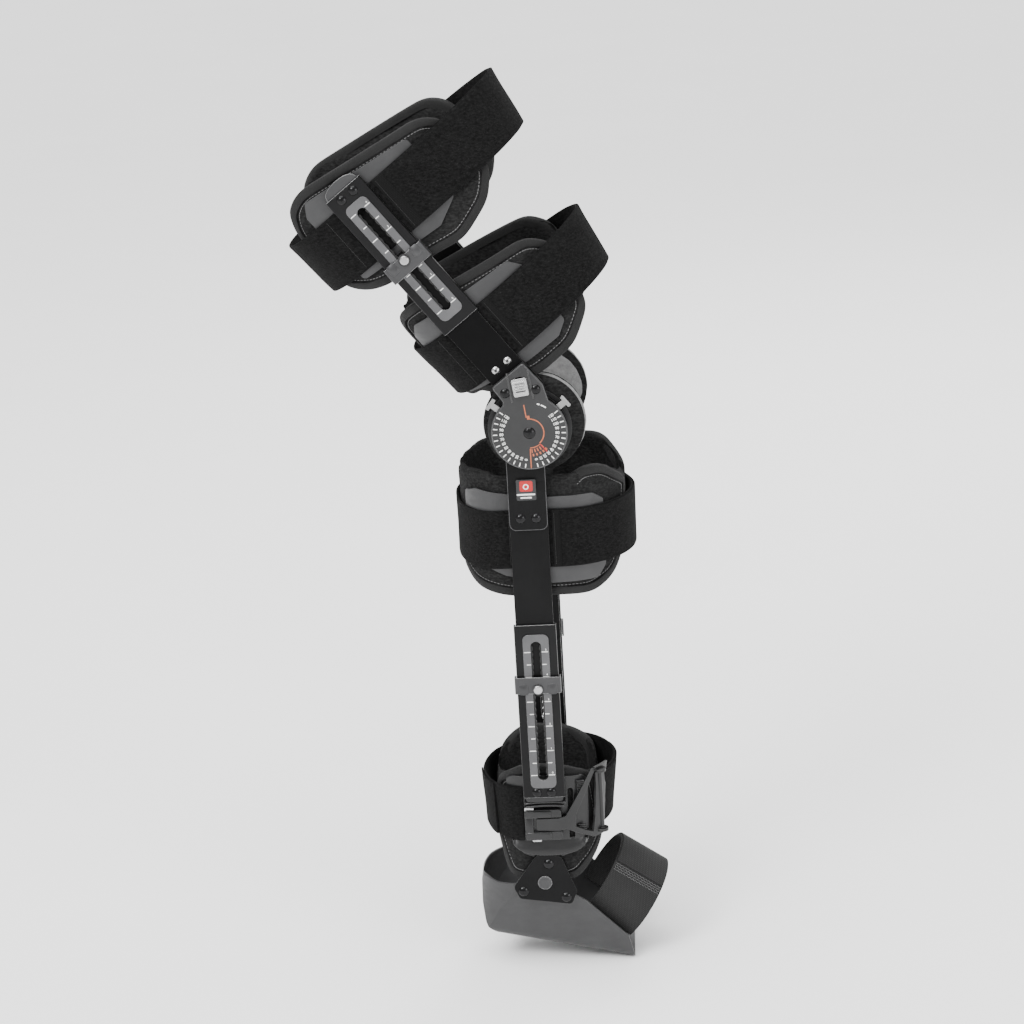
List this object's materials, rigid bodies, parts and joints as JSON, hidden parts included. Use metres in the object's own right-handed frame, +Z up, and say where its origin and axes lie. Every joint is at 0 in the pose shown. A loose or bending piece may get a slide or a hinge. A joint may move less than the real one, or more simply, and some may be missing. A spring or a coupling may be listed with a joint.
{
  "type": "knee brace",
  "caption": "Long post-operative knee brace: hinged telescoping side bars, padded thigh and calf cuffs with straps, buckled ankle section and hinged plastic heel shell.",
  "frame": {"origin": "middle of the knee axis, half-way between the two hinges", "axes": "+Z up along the shank bars, +X forward towards the toes, +Y towards the medial side; the lateral side with the buckle is -Y"},
  "size_m": [0.3009, 0.1602, 0.8112],
  "materials": {
    "bar_black": "satin black powder coat",
    "channel_grey": "satin anodised dark grey",
    "plate_silver": "brushed, printed scale",
    "clamp_grey": "satin moulded",
    "steel": "polished",
    "rivet_black": "gloss black",
    "cover": "fine moulded texture, printed dial",
    "strap": "brushed loop webbing",
    "pad": "brushed knit over foam, bound edge",
    "foam": "light grey foam with knit face",
    "shell": "flexible grey plastic",
    "foot_plastic": "mid-grey moulded plastic",
    "ankle_plastic": "black moulded plastic",
    "webbing": "dark grey woven webbing"
  },
  "bodies": {
    "shank_frame": {"hinge_arm_lateral": "bar_black", "hinge_arm_medial": "bar_black", "shank_bar_lateral": "bar_black", "shank_bar_medial": "bar_black", "shank_bar_rivets": "rivet_black", "calf_pad_lateral": "pad", "calf_pad_medial": "pad", "calf_shells": "shell", "calf_strap": "strap", "shank_clamp_bands": "clamp_grey"},
    "thigh_frame": {"thigh_bar_lateral": "bar_black", "thigh_bar_medial": "bar_black", "hinge_cover_lateral": "cover", "hinge_cover_medial": "cover", "hinge_back_plates": "bar_black", "hinge_pivot_rivets": "rivet_black", "hinge_cover_screws": "rivet_black", "thigh_bar_screws": "steel", "condyle_pad_lateral": "foam", "condyle_pad_medial": "foam", "condyle_discs": "cover", "lower_thigh_pad_lateral": "pad", "lower_thigh_pad_medial": "pad", "lower_thigh_shells": "shell", "lower_thigh_strap": "strap", "thigh_clamp_bands": "clamp_grey"},
    "upper_cuff": {"thigh_channel_lateral": "channel_grey", "thigh_channel_medial": "channel_grey", "thigh_scale_plates": "plate_silver", "thigh_channel_rivets": "rivet_black", "upper_thigh_pad_lateral": "pad", "upper_thigh_pad_medial": "pad", "upper_thigh_shells": "shell", "upper_thigh_strap": "strap"},
    "ankle_frame": {"shank_channel_lateral": "channel_grey", "shank_channel_medial": "channel_grey", "shank_scale_plates": "plate_silver", "shank_channel_rivets": "rivet_black", "ankle_plate_lateral": "ankle_plastic", "ankle_plate_medial": "ankle_plastic", "ankle_pad_lateral": "pad", "ankle_pad_medial": "pad", "ankle_straps": "strap", "buckle_receiver": "ankle_plastic", "ankle_pivot_rivets": "rivet_black"},
    "buckle": {"buckle_tongue": "ankle_plastic"},
    "foot": {"foot_shell": "foot_plastic", "ankle_brackets": "bar_black", "bracket_rivets": "rivet_black", "instep_strap": "webbing"},
    "lock_lateral": {"lock_slider_lateral": "steel"},
    "extension_stop_lateral_body": {"extension_stop_lateral": "steel"},
    "flexion_stop_lateral_body": {"flexion_stop_lateral": "steel"},
    "thigh_pin_lateral": {"thigh_clamp_pin_lateral": "steel"},
    "shank_pin_lateral": {"shank_clamp_pin_lateral": "steel"},
    "lock_medial": {"lock_slider_medial": "steel"},
    "extension_stop_medial_body": {"extension_stop_medial": "steel"},
    "flexion_stop_medial_body": {"flexion_stop_medial": "steel"},
    "thigh_pin_medial": {"thigh_clamp_pin_medial": "steel"},
    "shank_pin_medial": {"shank_clamp_pin_medial": "steel"}
  },
  "joints": [
    {"name": "knee_flexion", "type": "hinge", "parent": "shank_frame", "child": "thigh_frame", "pos_m": [0, 0, 0], "axis": [0, -1, 0], "range_deg": [-38, 45]},
    {"name": "thigh_length", "type": "slide", "parent": "thigh_frame", "child": "upper_cuff", "axis": [-0.6157, 0, 0.788], "range_m": [-0.01, 0.05]},
    {"name": "shank_length", "type": "slide", "parent": "shank_frame", "child": "ankle_frame", "axis": [0, 0, -1], "range_m": [-0.08, 0.04]},
    {"name": "ankle_flexion", "type": "hinge", "parent": "ankle_frame", "child": "foot", "pos_m": [-0.0057, 0, -0.4094], "axis": [0, -1, 0], "range_deg": [-12, 20]},
    {"name": "buckle_open", "type": "hinge", "parent": "ankle_frame", "child": "buckle", "pos_m": [0.044, -0.043, -0.3535], "axis": [0, 0, 1], "range_deg": [0, 60]},
    {"name": "lock_slide_lateral", "type": "slide", "parent": "thigh_frame", "child": "lock_lateral", "axis": [-0.1392, 0, 0.9903], "range_m": [0, 0.005]},
    {"name": "extension_stop_lateral", "type": "hinge", "parent": "thigh_frame", "child": "extension_stop_lateral_body", "pos_m": [0, -0.072, 0], "axis": [0, 1, 0], "range_deg": [0, 112]},
    {"name": "flexion_stop_lateral", "type": "hinge", "parent": "thigh_frame", "child": "flexion_stop_lateral_body", "pos_m": [0, -0.072, 0], "axis": [0, -1, 0], "range_deg": [0, 112]},
    {"name": "thigh_pin_lateral", "type": "slide", "parent": "thigh_frame", "child": "thigh_pin_lateral", "axis": [0, -1, 0], "range_m": [0, 0.0025], "stiffness_N_per_m": 400},
    {"name": "shank_pin_lateral", "type": "slide", "parent": "shank_frame", "child": "shank_pin_lateral", "axis": [0, -1, 0], "range_m": [0, 0.0025], "stiffness_N_per_m": 400},
    {"name": "lock_slide_medial", "type": "slide", "parent": "thigh_frame", "child": "lock_medial", "axis": [-0.1392, 0, 0.9903], "range_m": [0, 0.005]},
    {"name": "extension_stop_medial", "type": "hinge", "parent": "thigh_frame", "child": "extension_stop_medial_body", "pos_m": [0, 0.072, 0], "axis": [0, 1, 0], "range_deg": [0, 112]},
    {"name": "flexion_stop_medial", "type": "hinge", "parent": "thigh_frame", "child": "flexion_stop_medial_body", "pos_m": [0, 0.072, 0], "axis": [0, -1, 0], "range_deg": [0, 112]},
    {"name": "thigh_pin_medial", "type": "slide", "parent": "thigh_frame", "child": "thigh_pin_medial", "axis": [0, 1, 0], "range_m": [0, 0.0025], "stiffness_N_per_m": 400},
    {"name": "shank_pin_medial", "type": "slide", "parent": "shank_frame", "child": "shank_pin_medial", "axis": [0, 1, 0], "range_m": [0, 0.0025], "stiffness_N_per_m": 400}
  ]
}
